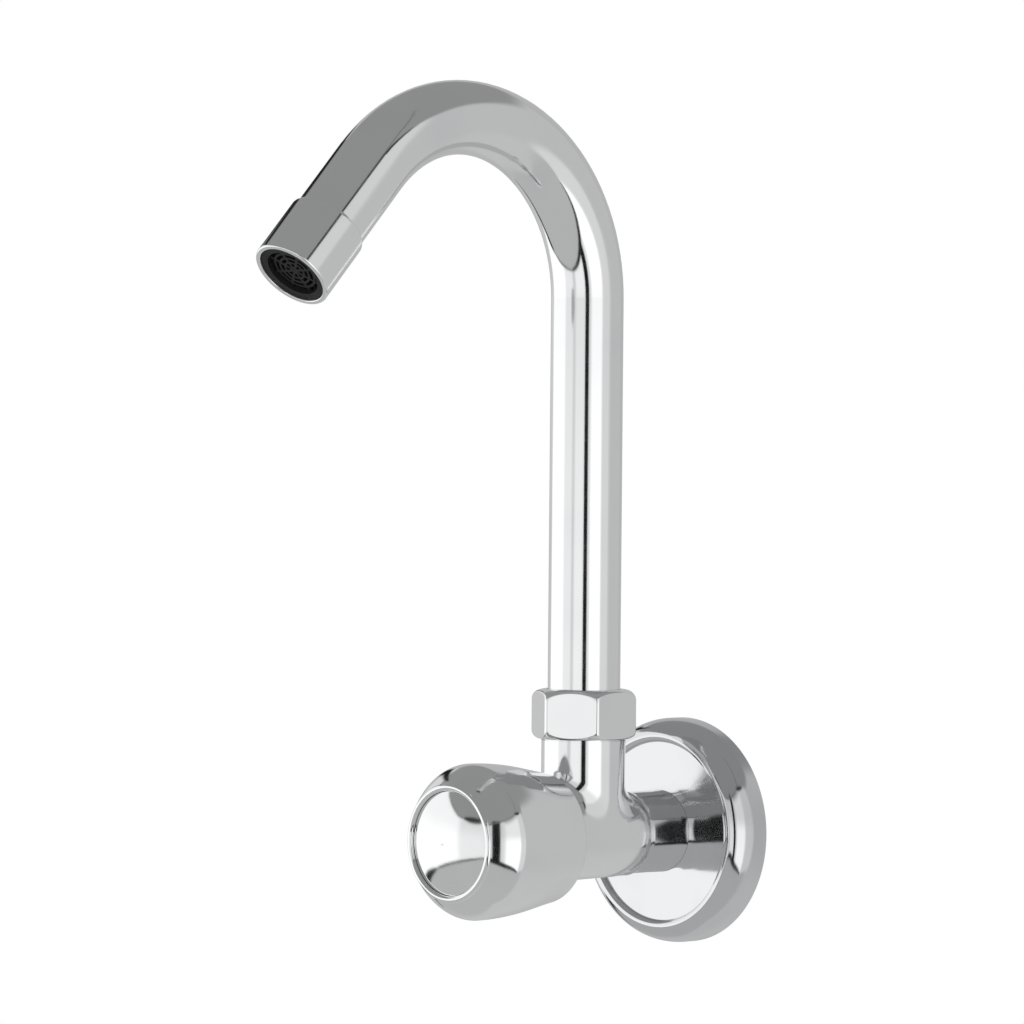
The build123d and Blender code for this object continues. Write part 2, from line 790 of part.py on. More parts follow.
def make_screens():
    """Two woven screens, shown as thin discs with square meshes."""
    radius = insert_bore_radius - seated_gap
    reach = floor((radius - screen_hole) / screen_pitch)
    mesh = Circle(radius)
    for column in range(-reach, reach + 1):
        for row in range(-reach, reach + 1):
            centre = Vector(column * screen_pitch, row * screen_pitch)
            if centre.length + screen_hole < radius:
                mesh -= Pos(centre.X, centre.Y) * Rectangle(screen_hole, screen_hole)
    return Compound(
        [
            prism(outlet_frame, mesh, station, station + screen_thickness)
            for station in screen_stations
        ]
    )


def make_diffuser():
    """The perforated plate that splits the water into jets."""
    plate = Circle(insert_bore_radius - seated_gap)
    for radius, count in zip(diffuser_circle_radii, diffuser_hole_counts):
        plate -= PolarLocations(radius, count) * Circle(diffuser_hole_radius)
    return prism(outlet_frame, plate, diffuser_at, diffuser_at + diffuser_thickness)


parts = {
    "wall_flange": make_wall_flange,
    "valve_body": make_valve_body,
    "headwork_bonnet": make_bonnet,
    "bonnet_seal": make_bonnet_seal,
    "spindle": make_spindle,
    "spindle_o_rings": make_spindle_o_rings,
    "thrust_washer": make_thrust_washer,
    "spindle_circlip": make_circlip,
    "valve_carrier": make_carrier,
    "valve_washer": make_valve_washer,
    "washer_screw": make_washer_screw,
    "knob": make_knob,
    "knob_screw": make_knob_screw,
    "knob_screw_washer": make_screw_washer,
    "knob_cap": make_cap,
    "cap_ring": make_cap_ring,
    "spout_nut": make_spout_nut,
    "slip_ring": make_slip_ring,
    "spout_tail": make_spout_tail,
    "spout_o_rings": make_spout_o_rings,
    "spout_tube": make_spout_tube,
    "outlet_bush": make_outlet_bush,
    "aerator_housing": make_housing,
    "aerator_gasket": make_gasket,
    "aerator_insert": make_insert,
    "aerator_screens": make_screens,
    "aerator_diffuser": make_diffuser,
}

os.makedirs("parts", exist_ok=True)
for name, make in parts.items():
    shape = make()
    export_step(shape, "parts/" + name + ".step")
    print(name, "volume", round(shape.volume, 1), "size", shape.bounding_box().size)
print("mouth of the outlet at", mouth_centre)
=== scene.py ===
# %% [markdown]
# # A chromed wall tap
# The tap is held by its threaded inlet in a wall. A tee shaped body carries a round knob in front
# and a swan-neck spout on top, and a pressed flange hides the hole in the tiles. The solids come
# from the construction model as a fixed frame. This file dresses them: it rebuilds the polished
# pieces as fine meshes, gives every piece its finish and lights the whole as in a studio.
# Lengths below are written in millimetres and turned into Blender's metres by one helper.

# %% Load the frame
import math

import bmesh
import bpy
import numpy as np
from mathutils import Matrix, Vector


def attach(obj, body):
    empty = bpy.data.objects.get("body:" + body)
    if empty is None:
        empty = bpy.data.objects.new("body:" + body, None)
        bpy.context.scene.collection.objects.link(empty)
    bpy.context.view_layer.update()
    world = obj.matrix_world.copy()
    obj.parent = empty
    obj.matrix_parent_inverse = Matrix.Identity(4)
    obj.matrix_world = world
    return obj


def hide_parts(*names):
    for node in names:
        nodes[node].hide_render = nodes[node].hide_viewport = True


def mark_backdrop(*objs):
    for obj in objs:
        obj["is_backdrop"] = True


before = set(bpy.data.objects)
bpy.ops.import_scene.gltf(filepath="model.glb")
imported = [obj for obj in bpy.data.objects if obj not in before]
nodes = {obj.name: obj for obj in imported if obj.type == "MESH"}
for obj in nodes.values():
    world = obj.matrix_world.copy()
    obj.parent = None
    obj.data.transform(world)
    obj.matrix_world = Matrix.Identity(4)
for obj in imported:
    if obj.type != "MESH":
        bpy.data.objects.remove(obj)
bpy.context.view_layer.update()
scene = bpy.context.scene
scene.view_settings.view_transform = "Standard"


def mm(value):
    """Millimetres as Blender's metres."""
    return value * 0.001


# %% [markdown]
# ## The camera
# A product photographer stands far back with a long lens, so upright edges stay upright. Here the
# camera looks from the front right, 45.6 degrees round from the tap's own direction, almost level.
# It could be placed by eye. It is placed by an anchor instead: one point of the tap, its distance,
# and the pixel where that point has to land.

# %% Camera
azimuth = math.radians(45.6)
look_down = math.radians(0.354)
roll = math.radians(0.504)
image_size = 1024
anchor = Vector((0, mm(-60), mm(80)))
anchor_pixel = (548.92, 571.86)
anchor_distance = mm(1510.33)
focal_pixels = 5018.7
sensor = 36

backwards = Vector(
    (
        math.sin(azimuth) * math.cos(look_down),
        -math.cos(azimuth) * math.cos(look_down),
        math.sin(look_down),
    )
)
level_right = Vector((math.cos(azimuth), math.sin(azimuth), 0))
level_up = backwards.cross(level_right)
camera_right = math.cos(roll) * level_right + math.sin(roll) * level_up
camera_up = math.cos(roll) * level_up - math.sin(roll) * level_right
aside = (anchor_pixel[0] - image_size / 2) * anchor_distance / focal_pixels
above = (image_size / 2 - anchor_pixel[1]) * anchor_distance / focal_pixels
camera_place = anchor + backwards * anchor_distance - camera_right * aside - camera_up * above

camera_data = bpy.data.cameras.new("studio_camera")
camera_data.sensor_width = sensor
camera_data.lens = focal_pixels / image_size * sensor
camera_data.clip_start = 0.05
camera = bpy.data.objects.new("studio_camera", camera_data)
scene.collection.objects.link(camera)
camera.matrix_world = Matrix(
    [
        (camera_right[i], camera_up[i], backwards[i], camera_place[i]) for i in range(3)
    ]
    + [(0, 0, 0, 1)]
)
scene.camera = camera
print("camera at", [round(v, 3) for v in camera_place], "lens", round(camera_data.lens, 1), "mm")

# %% [markdown]
# ## Finishes
# Polished chrome has almost no colour of its own: it is a slightly dark, slightly cool mirror, so
# what it shows is the room. Real plating still has a little life. Wiped water leaves faint duller
# veils, and the buffing wheel leaves a very shallow waviness. Both are noise patterns here, one in
# the roughness and one in the bump. A perfect mirror would have been simpler and would look
# computed.


# %% A helper for node materials
def new_finish(name):
    """A material with a Principled shader, its node tree and its shader."""
    finish = bpy.data.materials.new(name)
    finish.use_nodes = True
    tree = finish.node_tree
    shader = tree.nodes["Principled BSDF"]
    return finish, tree, shader


def object_place(tree):
    return tree.nodes.new("ShaderNodeTexCoord").outputs["Object"]


def object_noise(tree, scale, detail=2.0, stretch=(1, 1, 1)):
    """Noise in the object's own coordinates, in cells per metre."""
    mapping = tree.nodes.new("ShaderNodeMapping")
    mapping.inputs["Scale"].default_value = stretch
    noise = tree.nodes.new("ShaderNodeTexNoise")
    noise.inputs["Scale"].default_value = scale
    noise.inputs["Detail"].default_value = detail
    tree.links.new(object_place(tree), mapping.inputs["Vector"])
    tree.links.new(mapping.outputs["Vector"], noise.inputs["Vector"])
    return noise.outputs["Fac"]


def spread(tree, value, low, high, dark=0.0, light=1.0):
    """Stretches a pattern between two limits to a new range."""
    ramp = tree.nodes.new("ShaderNodeMapRange")
    ramp.inputs["From Min"].default_value = low
    ramp.inputs["From Max"].default_value = high
    ramp.inputs["To Min"].default_value = dark
    ramp.inputs["To Max"].default_value = light
    tree.links.new(value, ramp.inputs["Value"])
    return ramp.outputs["Result"]


def mix_colours(tree, share, first, second):
    """A mix of two colours; each is a plain colour or another node's output."""
    mix = tree.nodes.new("ShaderNodeMix")
    mix.data_type = "RGBA"
    tree.links.new(share, mix.inputs["Factor"])
    for socket, colour in (("A", first), ("B", second)):
        if isinstance(colour, tuple):
            mix.inputs[socket].default_value = (*colour, 1)
        else:
            tree.links.new(colour, mix.inputs[socket])
    return mix.outputs["Result"]


def add_bump(tree, shader, height, distance, strength=1.0):
    bump = tree.nodes.new("ShaderNodeBump")
    bump.inputs["Distance"].default_value = distance
    bump.inputs["Strength"].default_value = strength
    tree.links.new(height, bump.inputs["Height"])
    tree.links.new(bump.outputs["Normal"], shader.inputs["Normal"])


# %% [markdown]
# ## Two kinds of chrome
# Cast and drawn pieces are polished to a full mirror before they are plated. The flange is pressed
# from thin sheet, and its chrome is given a darker colour than the rest, with the same gloss. Both
# are one recipe with two colours each: one for clean plating and one for where a wiped veil lies.

# %% Chrome
clean_chrome = (0.865, 0.870, 0.875)
veiled_chrome = (0.835, 0.842, 0.850)
clean_pressed_chrome = (0.715, 0.725, 0.735)
veiled_pressed_chrome = (0.66, 0.67, 0.68)
clean_roughness = 0.08
veiled_roughness = 0.115
veils_per_metre = 45
smears_per_metre = 160
buffing_waves_per_metre = 60
buffing_wave = mm(0.002)


def wiped_veil(tree):
    """Where wiped water has left a duller veil, from 0 to 1."""
    return spread(tree, object_noise(tree, veils_per_metre, 3.0), 0.45, 0.75)


def make_chrome(name, clean, veiled):
    finish, tree, shader = new_finish(name)
    shader.inputs["Metallic"].default_value = 1.0
    tint = mix_colours(tree, wiped_veil(tree), clean, veiled)
    smear = object_noise(tree, smears_per_metre, 4.0)
    gloss = spread(tree, smear, 0.4, 0.8, clean_roughness, veiled_roughness)
    tree.links.new(tint, shader.inputs["Base Color"])
    tree.links.new(gloss, shader.inputs["Roughness"])
    add_bump(tree, shader, object_noise(tree, buffing_waves_per_metre, 1.0), buffing_wave)
    return finish


chrome = make_chrome("polished_chrome", clean_chrome, veiled_chrome)
pressed_chrome = make_chrome("pressed_chrome", clean_pressed_chrome, veiled_pressed_chrome)
print("chrome reflects", clean_chrome, "to", veiled_chrome)

# %% [markdown]
# ## Metals off the lathe
# Brass and steel pieces inside the tap come straight from the lathe. The tool leaves fine rings
# round the turning axis, so each metal gets noise that is squeezed along that axis and drawn out
# across it. An anisotropic shader was another way, but it needs tangents that turned solids from a
# construction model don't carry.

# %% Turned brass and steel
along_body = (0.03, 1, 0.03)
along_riser = (0.03, 0.03, 1)
tool_rings_per_metre = 2600
tarnish_per_metre = 90
tool_mark_depth = mm(0.004)


def tarnish_spots(tree):
    """Where bare metal has darkened, from 0 to 1."""
    return spread(tree, object_noise(tree, tarnish_per_metre, 4.0), 0.4, 0.7)


def make_turned(name, light, dark, smooth, rough, axis):
    finish, tree, shader = new_finish(name)
    shader.inputs["Metallic"].default_value = 1.0
    rings = object_noise(tree, tool_rings_per_metre, 2.0, axis)
    colour = mix_colours(tree, tarnish_spots(tree), light, dark)
    gloss = spread(tree, rings, 0.3, 0.7, smooth, rough)
    tree.links.new(colour, shader.inputs["Base Color"])
    tree.links.new(gloss, shader.inputs["Roughness"])
    add_bump(tree, shader, rings, tool_mark_depth)
    return finish


brass_light = (0.74, 0.58, 0.30)
brass_dark = (0.60, 0.44, 0.21)
steel_light = (0.66, 0.66, 0.66)
steel_dark = (0.54, 0.54, 0.55)
brass_gloss = (0.22, 0.38)
steel_gloss = (0.2, 0.34)
body_brass = make_turned("turned_brass", brass_light, brass_dark, *brass_gloss, along_body)
riser_brass = make_turned(
    "turned_brass_upright", brass_light, brass_dark, *brass_gloss, along_riser
)
steel = make_turned("stainless_steel", steel_light, steel_dark, *steel_gloss, along_body)
print("brass", brass_light, "steel", steel_light)

# %% [markdown]
# ## Plating on a raw casting
# The body is dipped for plating with its threads masked, so behind the flange it stays raw brass.
# The border is a plane across the shank. Object coordinates know that plane, so one material
# carries both metals, and no face has to be picked by hand.

# %% Chrome in front, brass behind
plating_ends = mm(-11.2)
plating_fade = mm(0.4)
raw_casting_gloss = (0.24, 0.4)


def make_plated_brass(name):
    finish, tree, shader = new_finish(name)
    shader.inputs["Metallic"].default_value = 1.0
    apart = tree.nodes.new("ShaderNodeSeparateXYZ")
    tree.links.new(object_place(tree), apart.inputs["Vector"])
    raw = spread(tree, apart.outputs["Y"], plating_ends, plating_ends + plating_fade)
    plated_colour = mix_colours(tree, wiped_veil(tree), clean_chrome, veiled_chrome)
    brass_colour = mix_colours(tree, tarnish_spots(tree), brass_light, brass_dark)
    rings = object_noise(tree, tool_rings_per_metre, 2.0, along_body)
    colour = mix_colours(tree, raw, plated_colour, brass_colour)
    gloss = tree.nodes.new("ShaderNodeMix")
    gloss.inputs["A"].default_value = clean_roughness
    tree.links.new(raw, gloss.inputs["Factor"])
    tree.links.new(spread(tree, rings, 0.3, 0.7, *raw_casting_gloss), gloss.inputs["B"])
    tree.links.new(colour, shader.inputs["Base Color"])
    tree.links.new(gloss.outputs["Result"], shader.inputs["Roughness"])
    return finish


plated_brass = make_plated_brass("plated_brass")
print("plating ends", round(plating_ends * 1000, 1), "mm along Y")

# %% [markdown]
# ## Plastic and rubber
# The outlet insert is moulded in black plastic with a fine spark-eroded grain. Seals are matt
# rubber with a bloom of talc, and the slip ring is milky nylon. All three are one recipe with
# other numbers: two close colours, a grain in the roughness and a grain in the bump.


# %% Moulded materials
def make_moulded(name, colour, paler, smooth, rough, grain_per_metre, grain_depth, gloss_level):
    finish, tree, shader = new_finish(name)
    grain = object_noise(tree, grain_per_metre, 3.0)
    bloom = spread(tree, object_noise(tree, 120, 3.0), 0.4, 0.75)
    tree.links.new(mix_colours(tree, bloom, colour, paler), shader.inputs["Base Color"])
    tree.links.new(spread(tree, grain, 0.3, 0.7, smooth, rough), shader.inputs["Roughness"])
    add_bump(tree, shader, grain, grain_depth)
    shader.inputs["Specular IOR Level"].default_value = gloss_level
    return finish


black_plastic = make_moulded(
    "black_plastic", (0.010, 0.010, 0.011), (0.018, 0.018, 0.020), 0.45, 0.6, 2200, mm(0.01), 0.3
)
rubber = make_moulded(
    "black_rubber", (0.03, 0.03, 0.03), (0.06, 0.06, 0.058), 0.6, 0.8, 1500, mm(0.015), 0.4
)
nylon = make_moulded(
    "milky_nylon", (0.86, 0.86, 0.82), (0.80, 0.80, 0.75), 0.35, 0.5, 1200, mm(0.008), 0.5
)
print("moulded:", black_plastic.name, rubber.name, nylon.name)


# %% Dressing the solids that stay
def dress(node_name, finish):
    """Gives a carried-over solid its finish."""
    if not nodes[node_name].material_slots:
        nodes[node_name].data.materials.append(finish)
    for slot in nodes[node_name].material_slots:
        slot.material = finish


finish_of = {
    chrome: ["knob", "knob_cap", "spout_tube", "aerator_housing", "wall_flange", "spout_nut"],
    plated_brass: ["valve_body"],
    body_brass: ["headwork_bonnet", "spindle", "valve_carrier", "washer_screw", "thrust_washer"],
    riser_brass: ["spout_tail", "outlet_bush"],
    steel: ["knob_screw", "knob_screw_washer", "spindle_circlip", "aerator_screens"],
    black_plastic: ["aerator_insert", "aerator_diffuser"],
    rubber: [
        "bonnet_seal", "cap_ring", "spindle_o_rings", "valve_washer", "spout_o_rings",
        "aerator_gasket",
    ],
    nylon: ["slip_ring"],
}
for finish, names in finish_of.items():
    for node_name in names:
        dress(node_name, finish)
print("dressed", sum(len(names) for names in finish_of.values()), "of", len(nodes), "solids")

# %% [markdown]
# ## Turned pieces as fine meshes
# A mirror shows every facet, so a polished piece needs more faces than its solid carries. A turned
# piece is one profile swept round an axis. Blender's Screw modifier would do that too. Here the
# rings are made directly, because then the crisp edges can be marked while they are made: wherever
# the profile turns sharply, its ring is sharp, and all else is shaded smooth.


# %% A lathe for profiles
def arc(centre, radii, start, end, steps):
    """Points of an ellipse's arc in the (radius, station) plane, angles in degrees."""
    points = []
    for step in range(steps + 1):
        turn = math.radians(start + (end - start) * step / steps)
        x = centre[0] + radii[0] * math.cos(turn)
        y = centre[1] + radii[1] * math.sin(turn)
        points.append((x, y))
    return points


def profile_turns(profile):
    """How far a closed profile turns at each point, in degrees."""
    turns = []
    for i, here in enumerate(profile):
        before = Vector(here) - Vector(profile[i - 1])
        after = Vector(profile[(i + 1) % len(profile)]) - Vector(here)
        turns.append(abs(math.degrees(before.angle_signed(after))))
    return turns


def settle(name, form, body, finish, replaced=()):
    """Makes an object of a bmesh, gives it its finish and lets it ride on its body."""
    bmesh.ops.recalc_face_normals(form, faces=form.faces)
    mesh = bpy.data.meshes.new(name)
    form.to_mesh(mesh)
    form.free()
    mesh.materials.append(finish)
    piece = bpy.data.objects.new(name, mesh)
    scene.collection.objects.link(piece)
    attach(piece, body)
    if replaced:
        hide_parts(*replaced)
    print(name, "has", len(mesh.polygons), "faces")
    return piece


def turn_profile(profile, place, columns, crisp=28):
    """A closed (radius, station) profile swept round; place(x, z, station) puts its points."""
    form = bmesh.new()
    rings = []
    for radius, station in profile:
        ring = []
        for column in range(columns):
            turn = 2 * math.pi * column / columns
            ring.append(
                form.verts.new(place(radius * math.sin(turn), radius * math.cos(turn), station))
            )
        rings.append(ring)
    for i, ring in enumerate(rings):
        above = rings[(i + 1) % len(rings)]
        for column in range(columns):
            after = (column + 1) % columns
            form.faces.new((ring[column], ring[after], above[after], above[column])).smooth = True
    for ring, turned in zip(rings, profile_turns(profile)):
        if turned > crisp:
            for column in range(columns):
                form.edges.get((ring[column], ring[(column + 1) % columns])).smooth = False
    return form


def on_body(x, z, station):
    """A point of a piece turned round the body's axis; the station counts from the wall."""
    return Vector((mm(x), mm(-station), mm(z)))


# %% [markdown]
# ## The wall flange
# The flange is pressed from thin sheet: a flat disc, a rolled rim that stands a little higher, and
# a skirt that meets the wall. Where rim and disc meet, the press leaves one tight fillet, which
# mirrors as a single dark line. Round its hole the sheet rises a little, where it is drawn against
# the barrel. The construction solid has simpler edges there, so this profile replaces it at the
# same size.

# %% Flange
flange_radius = 34.6
flange_face = 10.9
skirt_height = 3.7
crest_radius = 29.2
crest_height = 12.5
rim_foot_radius = 27.7
rim_foot_round = 0.4
sheet = 1.0
hole_radius = 10.6
collar_radius = 12.6
dish_radius = 15.4
dish_rise = 0.14
rim_squareness = 2.0
edge_step = 0.02


def square_arc(centre, radii, start, end, steps, squareness):
    """An arc whose corner is fuller than an ellipse's, as a pressed edge is."""
    points = []
    for x, y in arc((0, 0), (1, 1), start, end, steps):
        fuller = [math.copysign(abs(value) ** (2 / squareness), value) for value in (x, y)]
        points.append((centre[0] + radii[0] * fuller[0], centre[1] + radii[1] * fuller[1]))
    return points


def dish_height(radius):
    """The disc rises a little towards its hole, where the press has drawn it."""
    share = max(0, (dish_radius - radius) / (dish_radius - collar_radius))
    return flange_face + dish_rise * share * share


def flange_profile():
    foot_height = flange_face + rim_foot_round
    outer = [(flange_radius, 0), (flange_radius, skirt_height / 2)]
    outer += arc(
        (crest_radius, skirt_height),
        (flange_radius - crest_radius, crest_height - skirt_height), 0, 90, 40,
    )
    outer += square_arc(
        (crest_radius, foot_height), (crest_radius - rim_foot_radius, crest_height - foot_height),
        90, 180, 48, rim_squareness,
    )[1:]
    outer += arc(
        (rim_foot_radius - rim_foot_round, foot_height), (rim_foot_round, rim_foot_round),
        0, -90, 10,
    )[1:]
    outer.append((20, flange_face))
    for step in range(21):
        radius = dish_radius + (collar_radius - dish_radius) * step / 20
        outer.append((radius, dish_height(radius)))
    outer.append((collar_radius - edge_step, flange_face + edge_step))
    outer.append((hole_radius, flange_face + edge_step))
    inner = [(hole_radius, flange_face - sheet), (crest_radius - 2.6, flange_face - sheet)]
    inner += arc(
        (crest_radius, skirt_height),
        (flange_radius - sheet - crest_radius, crest_height - sheet - skirt_height), 90, 0, 24,
    )
    inner.append((flange_radius - sheet, 0))
    return outer + inner


settle(
    "fine_flange", turn_profile(flange_profile(), on_body, 256), "wall_body",
    pressed_chrome, ["wall_flange"],
)

# %% [markdown]
# ## The cast tee
# The body is a casting, and where its upright riser grows out of the level barrel the patternmaker
# blends the two in a soft hollow that fades out at the sides. A bevel can't make that: near the
# sides the two round surfaces touch almost flat, and a bevel dies in a sharp V there. So the skin
# of the tee is worked out as the place where a formula is zero: the distance to the barrel and the
# distance to the riser, joined by a smooth minimum. The skin lies a hair over the solid, as
# plating lies on brass, and the formula's slope gives every point its exact mirror normal.

# %% The tee as a formula
plating = 0.05
riser_at = 44.6
riser_radius = 12.7 + plating
barrel_radius = 12.5 + plating
casting_radius = 13.0 + plating
mouth_radius = 13.5 + plating
shoulder_foot = 26.5
shoulder_top = 28.2
mouth_edge_at = 65.4
blend_reach = 6.0
blend_side = 4.2
shoulder_fullness = 2.2
skin_margin = 0.01
tiny = 1e-9


def ease(low, high, value):
    share = np.clip((value - low) / (high - low), 0, 1)
    return share * share * (3 - 2 * share)


def turned_radius(station):
    """The body's radius along its axis: barrel, rounded shoulder, then the widening casting."""
    climb = np.clip((station - shoulder_foot) / (shoulder_top - shoulder_foot), 0, 1)
    widening = np.clip((station - shoulder_top) / (mouth_edge_at - shoulder_top), 0, 1)
    shoulder = (casting_radius - barrel_radius) * (1 - (1 - climb) ** shoulder_fullness)
    return barrel_radius + shoulder + (mouth_radius - casting_radius) * widening


def blend_width(x, station, z):
    """The hollow's width: full where the surfaces cross squarely, none where they touch flat."""
    across = station - riser_at
    outward = np.sqrt(x * x + z * z) * np.sqrt(x * x + across * across) + tiny
    cross = np.sqrt(np.clip(1 - (x * x / outward) ** 2, 0, 1))
    room = ease(shoulder_top, shoulder_top + blend_side, station)
    return blend_reach * cross * room * ease(-1, 6, z) + 1e-4


def tee(x, station, z):
    """Less than zero inside the body, zero on its skin."""
    level = np.sqrt(x * x + z * z) - turned_radius(station)
    upright = np.sqrt(x * x + (station - riser_at) ** 2) - riser_radius + 2 * np.maximum(-z, 0)
    width = blend_width(x, station, z)
    near = np.maximum(width - np.abs(level - upright), 0) / width
    return np.minimum(level, upright) - near * near * width / 4


def settle_outward(point_at, near, far):
    """Halves the way between an inner and an outer reach until the skin is found."""
    near = np.array(near, float)
    far = np.array(far, float)
    for _ in range(40):
        middle = (near + far) / 2
        outside = tee(*point_at(middle)) > 0
        far = np.where(outside, middle, far)
        near = np.where(outside, near, middle)
    return (near + far) / 2


print("tee: barrel", barrel_radius, "casting", casting_radius, "riser", riser_radius, "mm radius")

# %% [markdown]
# ### Where riser and barrel meet
# The skin is laid in rings that all start at one line: where the hollow is deepest, all round the
# riser's root. Riser and body each lean on the other there, so the line is found by going round
# them in turns until nothing moves. Crossing two meshes would leave slivers just where it shows.

# %% The riser's root line
round_steps = 480
root_rounds = 60
root_turn = np.arange(round_steps) / round_steps * 2 * math.pi


def riser_point(reach, height):
    """A point at a reach from the riser's axis; the turn counts from the front."""
    return reach * np.sin(root_turn), riser_at + reach * np.cos(root_turn), height


root_reach = np.full(round_steps, riser_radius)
root_height = np.full(round_steps, casting_radius)
for _ in range(root_rounds):
    width = blend_width(*riser_point(root_reach, root_height))
    root_reach = riser_radius + width / 4
    side = root_reach * np.sin(root_turn)
    radius = turned_radius(riser_at + root_reach * np.cos(root_turn)) + width / 4
    root_height = np.sqrt(np.maximum(radius * radius - side * side, 0))
print("root line from", round(root_height.min(), 2), "to", round(root_height.max(), 2), "mm high")

# %% [markdown]
# ### Rings from the root line
# From the root the rings climb the riser up to the nut, and spread over the body until they reach
# the edge of its unrolled middle part. They crowd near the root, where the skin bends most.

# %% Rings up the riser
riser_skin_top = 29.0
riser_rings = 40
riser_crowding = 1.6
skin_rows = []
for step in range(riser_rings, -1, -1):
    share = (step / riser_rings) ** riser_crowding
    height = root_height + (riser_skin_top - root_height) * share
    low_reach = np.full(round_steps, riser_radius - skin_margin)
    reach = settle_outward(lambda r: riser_point(r, height), low_reach, low_reach + 5)
    if step == 0:
        reach = root_reach
    skin_rows.append(np.stack(riser_point(reach, height), axis=1))
print("riser:", len(skin_rows), "rings")

# %% From the root line out to the unrolled body's edge
patch_back = shoulder_top
patch_front = 63.8
quarter = round_steps // 4
body_rings = 44
body_crowding = 1.5


def edge_of_unrolled_body():
    """Stations and turns round the edge of the unrolled middle part, from the front round."""
    along = np.arange(quarter) / quarter
    first = np.arange(quarter // 2, quarter) / quarter
    length = patch_front - patch_back
    stations = [np.full(quarter // 2, patch_front), patch_front - length * along]
    turns = [(first - 0.5) * 2 * math.pi, np.full(quarter, math.pi)]
    stations += [np.full(quarter, patch_back), patch_back + length * along]
    turns += [(0.5 - along) * 2 * math.pi, np.full(quarter, -math.pi)]
    stations.append(np.full(quarter // 2, patch_front))
    turns.append((np.arange(quarter // 2) / quarter - 0.5) * 2 * math.pi)
    return np.concatenate(stations), np.concatenate(turns)


def body_point(reach, station, turn):
    return reach * np.sin(turn), station, reach * np.cos(turn)


edge_station, edge_turn = edge_of_unrolled_body()
root_x, root_station, root_z = riser_point(root_reach, root_height)
root_lean = np.arctan2(root_x, root_z)
for step in range(1, body_rings + 1):
    share = (step / body_rings) ** body_crowding
    station = root_station + (edge_station - root_station) * share
    turn = root_lean + (edge_turn - root_lean) * share
    low_reach = turned_radius(station) - skin_margin
    reach = settle_outward(lambda r: body_point(r, station, turn), low_reach, low_reach + 6)
    skin_rows.append(np.stack(body_point(reach, station, turn), axis=1))
print("root to edge:", body_rings, "rings")

# %% [markdown]
# ### The plain ends and the mesh
# Behind and in front of the middle part the body is simply round, so plain rings do. The formula's
# slope then gives each point the direction that its mirror faces, and turns the faces outward.

# %% Plain turned ends
end_columns = quarter
end_turn = (np.arange(end_columns) / end_columns - 0.5) * 2 * math.pi
foot_station = flange_face + dish_rise
back_stations = np.concatenate(
    [
        np.linspace(foot_station, shoulder_foot - 0.1, 12),
        np.linspace(shoulder_foot - 0.02, shoulder_foot + 0.4, 10),
        np.linspace(shoulder_foot + 0.5, shoulder_top, 24),
    ]
)
front_stations = np.linspace(patch_front, mouth_edge_at, 4)
print("ends:", len(back_stations), "rings behind and", len(front_stations), "in front")


def end_rows(stations):
    rows = []
    for station in stations:
        spot = np.full(end_columns, station)
        rows.append(np.stack(body_point(turned_radius(spot), spot, end_turn), axis=1))
    return rows


# %% The skin as a mesh with exact normals
def add_rows(points, faces, rows):
    """Adds a closed band of rings and its faces to the lists."""
    columns = len(rows[0])
    start = sum(len(block) for block in points)
    points.extend(rows)
    for row in range(len(rows) - 1):
        low = start + row * columns
        for column in range(columns):
            after = (column + 1) % columns
            high = low + columns
            faces.append((low + column, low + after, high + after, high + column))


def slope(points):
    """The direction in which the tee's formula grows: straight out of its skin."""
    step = 0.004
    x, station, z = points.T
    across = tee(x + step, station, z) - tee(x - step, station, z)
    along = tee(x, station + step, z) - tee(x, station - step, z)
    upward = tee(x, station, z + step) - tee(x, station, z - step)
    out = np.stack([across, -along, upward], axis=1)
    return out / np.linalg.norm(out, axis=1)[:, None]


def face_outward(places, normals, faces):
    """Turns round every face whose own normal points against the formula's slope."""
    first, second, third, fourth = (places[faces[:, corner]] for corner in range(4))
    own = np.cross(third - first, fourth - second)
    inward = np.sum(own * normals[faces].sum(axis=1), axis=1) < 0
    faces[inward] = faces[inward][:, ::-1]
    return faces.tolist()


def make_tee_skin():
    points = []
    faces = []
    add_rows(points, faces, skin_rows)
    add_rows(points, faces, end_rows(back_stations))
    add_rows(points, faces, end_rows(front_stations))
    normals = slope(np.concatenate(points))
    places = [on_body(x, z, station) for x, station, z in np.concatenate(points)]
    mesh = bpy.data.meshes.new("tee_skin")
    mesh.from_pydata(places, [], face_outward(np.array(places), normals, np.array(faces)))
    mesh.shade_smooth()
    mesh.normals_split_custom_set_from_vertices([tuple(normal) for normal in normals])
    mesh.materials.append(chrome)
    skin = bpy.data.objects.new("tee_skin", mesh)
    scene.collection.objects.link(skin)
    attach(skin, "wall_body")
    print("tee_skin has", len(mesh.polygons), "faces")


make_tee_skin()

# %% [markdown]
# ## The hexagon nut
# The nut is cut from hexagon bar. Both ends are turned down to a crown, so each flat ends in a
# curve, and the polisher takes the corners off. Its side is one radius for every direction and
# height: the smaller of the bar's outline and the crown's outline, with a soft step between them.
# Cutting a solid and bevelling it would give the same form with less even faces.

# %% Nut
nut_bottom = 29.3
nut_top = 44.5
half_flats = 14.3
corner_round = 1.2
crown_start = 11.6
crown_drop = 2.4
foot_start = 12.6
foot_drop = 1.8
crown_softness = 0.9
lip_depth = 2.5
nut_hole = 11.2
nut_thread = 12.55
nut_columns = 360
flat_levels = 11
flat_level_step = 0.94
corner_reach = half_flats / math.cos(math.radians(30))


